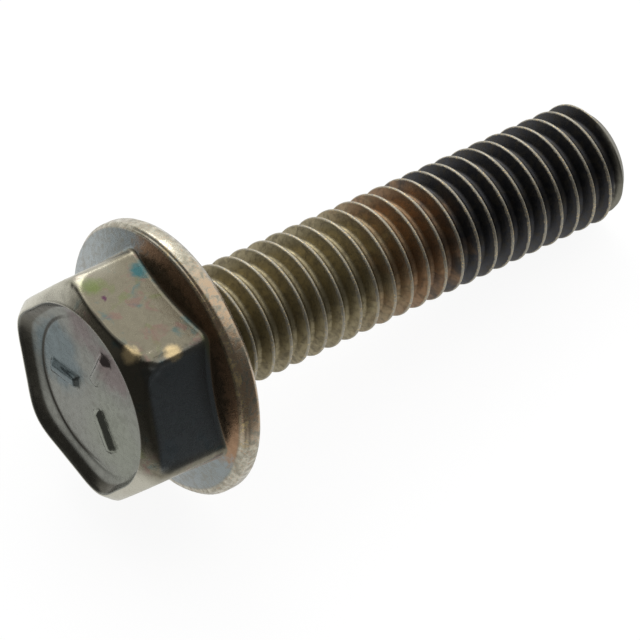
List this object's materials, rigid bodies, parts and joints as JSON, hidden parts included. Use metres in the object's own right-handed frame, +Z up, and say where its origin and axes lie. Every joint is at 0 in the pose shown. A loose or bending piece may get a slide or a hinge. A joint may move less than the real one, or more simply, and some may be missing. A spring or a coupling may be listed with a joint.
{
  "type": "hexagon flange bolt",
  "caption": "Hexagon head bolt with a round flange, a dished top and a right-hand thread along its whole shank, lying on its side.",
  "frame": {"origin": "on the floor, under the middle of the lying bolt", "axes": "+X along the bolt from head to thread end, +Z up; the bolt's own axis slopes down towards the thread end"},
  "size_m": [0.0306, 0.0132, 0.0131],
  "materials": {
    "passivated_steel": "dark passivated steel, semi-gloss, with a thin olive, brown and blue-grey tarnish"
  },
  "bodies": {
    "root": {"flange_bolt": "passivated_steel"}
  },
  "joints": []
}
